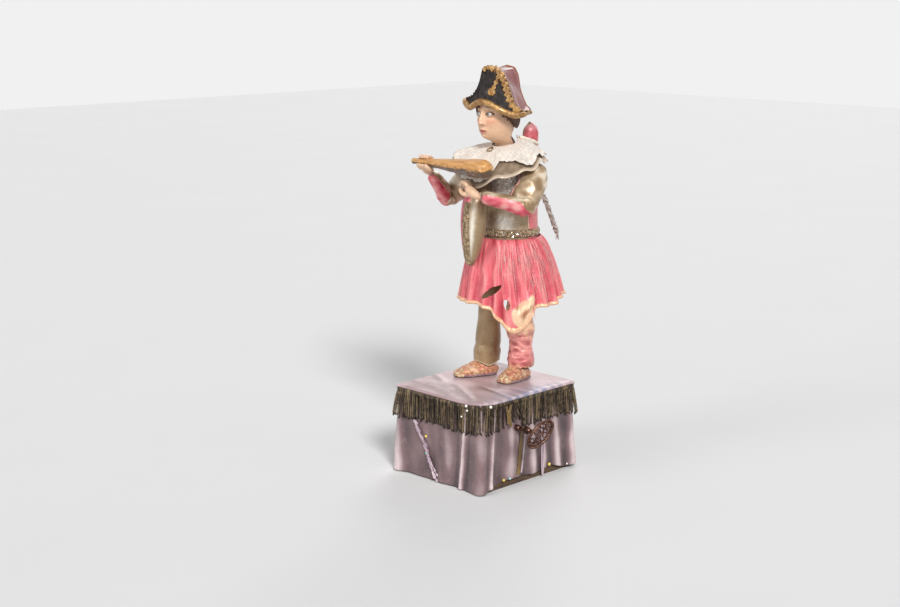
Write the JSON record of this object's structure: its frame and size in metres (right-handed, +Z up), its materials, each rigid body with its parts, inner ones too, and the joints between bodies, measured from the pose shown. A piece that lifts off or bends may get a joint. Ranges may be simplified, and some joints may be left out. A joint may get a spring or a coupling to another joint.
{
  "type": "automaton figure",
  "caption": "Clockwork musical automaton: a costumed figure that lifts a club, beats with one hand and nods, on a draped box with a winding key.",
  "frame": {"origin": "centre of the base's underside, on the surface that it stands on", "axes": "+Z up, -Y the way the figure faces, +X the figure's left, where the winding key is"},
  "size_m": [0.27, 0.255, 0.6394],
  "materials": {
    "pine": "bare softwood",
    "mauve_silk": "silk satin",
    "bullion": "twisted metal thread",
    "brass": "bright",
    "steel": "polished",
    "bronze": "dark patina",
    "gold_satin": "satin over stuffing",
    "pink_satin": "satin",
    "brocade": "brocade",
    "gilt_braid": "metal braid",
    "lace": "cotton lace",
    "composition": "painted composition",
    "glass_eye": "gloss",
    "hair": "wig fibre",
    "felt": "painted felt",
    "club_wood": "waxed",
    "crimped_cord": "crimped thread"
  },
  "bodies": {
    "case": {"case_bottom": "pine", "case_top": "pine", "case_front": "pine", "case_back": "pine", "case_key_side": "pine", "case_lever_side": "pine", "top_cover": "mauve_silk", "side_drape": "mauve_silk", "fringe": "bullion", "inner_plate": "brass", "outer_plate": "brass", "end_plate": "brass", "lever_shaft": "steel", "music_comb": "steel", "comb_bed": "brass", "right_leg_tube": "steel", "left_leg_tube": "steel", "right_trouser": "gold_satin", "left_trouser": "pink_satin", "right_shoe": "brocade", "left_shoe": "brocade", "torso": "pine", "belly_pad": "gold_satin", "back_pad": "pink_satin", "waist_band": "gilt_braid", "skirt": "pink_satin", "cape_collar": "gold_satin", "lace_collar": "lace", "trim_cord": "crimped_cord"},
    "barrel": {"spring_barrel": "brass", "barrel_cap": "brass", "mainspring": "steel"},
    "key": {"winding_arbor": "steel", "winding_key": "bronze"},
    "click": {"click": "steel"},
    "second": {"second_arbor": "steel"},
    "fly": {"fly": "steel"},
    "cams": {"cam_shaft": "brass"},
    "cylinder": {"music_cylinder": "brass"},
    "stop": {"stop_lever": "steel"},
    "right_lever": {"right_arm_lever": "brass"},
    "nod_lever": {"head_lever": "brass"},
    "left_lever": {"left_arm_lever": "brass"},
    "right_rod": {"right_arm_rod": "steel"},
    "nod_rod": {"head_rod": "steel"},
    "left_rod": {"left_arm_rod": "steel"},
    "right_arm": {"right_arm_crank": "steel", "right_sleeve": "gold_satin", "right_hand": "composition", "club": "club_wood"},
    "left_arm": {"left_arm_crank": "steel", "left_sleeve": "gold_satin", "left_hand": "composition"},
    "head": {"head": "composition", "neck_axle": "steel", "right_eye": "glass_eye", "left_eye": "glass_eye", "wig": "hair", "hat": "felt"}
  },
  "joints": [
    {"name": "barrel_turn", "type": "hinge", "parent": "case", "child": "barrel", "pos_m": [0, -0.027, 0.092], "axis": [1, 0, 0], "continuous": true},
    {"name": "key_turn", "type": "hinge", "parent": "case", "child": "key", "pos_m": [0, -0.027, 0.092], "axis": [1, 0, 0], "continuous": true},
    {"name": "click_lift", "type": "hinge", "parent": "case", "child": "click", "pos_m": [0.07, -0.01, 0.105], "axis": [1, 0, 0], "range_deg": [-20, 0]},
    {"name": "second_turn", "type": "hinge", "parent": "case", "child": "second", "pos_m": [0, -0.0132, 0.06241], "axis": [1, 0, 0], "continuous": true},
    {"name": "fly_turn", "type": "hinge", "parent": "case", "child": "fly", "pos_m": [0, -0.00213, 0.04323], "axis": [1, 0, 0], "continuous": true},
    {"name": "cam_turn", "type": "hinge", "parent": "case", "child": "cams", "pos_m": [0, 0.01584, 0.08052], "axis": [1, 0, 0], "continuous": true},
    {"name": "cylinder_turn", "type": "hinge", "parent": "case", "child": "cylinder", "pos_m": [0, -0.05145, 0.04965], "axis": [1, 0, 0], "continuous": true},
    {"name": "stop_slide", "type": "slide", "parent": "case", "child": "stop", "axis": [1, 0, 0], "range_m": [0, 0.006]},
    {"name": "right_arm_lift", "type": "hinge", "parent": "case", "child": "right_arm", "pos_m": [0, 0.05, 0.475], "axis": [-1, 0, 0], "range_deg": [0, 22]},
    {"name": "right_rod_slide", "type": "slide", "parent": "case", "child": "right_rod", "axis": [0, 0, 1], "range_m": [0, 0.00392]},
    {"name": "right_lever_rock", "type": "hinge", "parent": "case", "child": "right_lever", "pos_m": [0, 0.086, 0.091], "axis": [-1, 0, 0], "range_deg": [0, 4.9]},
    {"name": "left_arm_beat", "type": "hinge", "parent": "case", "child": "left_arm", "pos_m": [0, 0.05, 0.475], "axis": [-1, 0, 0], "range_deg": [-8, 4]},
    {"name": "left_rod_slide", "type": "slide", "parent": "case", "child": "left_rod", "axis": [0, 0, 1], "range_m": [-0.00071, 0.00142]},
    {"name": "left_lever_rock", "type": "hinge", "parent": "case", "child": "left_lever", "pos_m": [0, 0.086, 0.091], "axis": [-1, 0, 0], "range_deg": [-1.57, 3.14]},
    {"name": "head_nod", "type": "hinge", "parent": "case", "child": "head", "pos_m": [0, 0.044, 0.492], "axis": [1, 0, 0], "range_deg": [-3, 6]},
    {"name": "nod_rod_slide", "type": "slide", "parent": "case", "child": "nod_rod", "axis": [0, 0, 1], "range_m": [-0.00085, 0.00171]},
    {"name": "nod_lever_rock", "type": "hinge", "parent": "case", "child": "nod_lever", "pos_m": [0, 0.086, 0.091], "axis": [-1, 0, 0], "range_deg": [-1.88, 3.77]}
  ],
  "couplings": [
    {"joint": "second_turn", "follows": "barrel_turn", "ratio": -4},
    {"joint": "fly_turn", "follows": "barrel_turn", "ratio": 18},
    {"joint": "cam_turn", "follows": "barrel_turn", "ratio": -1.4286},
    {"joint": "cylinder_turn", "follows": "barrel_turn", "ratio": -1.1429},
    {"joint": "right_rod_slide", "follows": "right_arm_lift", "m_per_rad": 0.01},
    {"joint": "right_lever_rock", "follows": "right_arm_lift", "ratio": 0.21826},
    {"joint": "left_rod_slide", "follows": "left_arm_beat", "m_per_rad": -0.01},
    {"joint": "left_lever_rock", "follows": "left_arm_beat", "ratio": -0.38461},
    {"joint": "nod_rod_slide", "follows": "head_nod", "m_per_rad": 0.016},
    {"joint": "nod_lever_rock", "follows": "head_nod", "ratio": 0.61538}
  ]
}
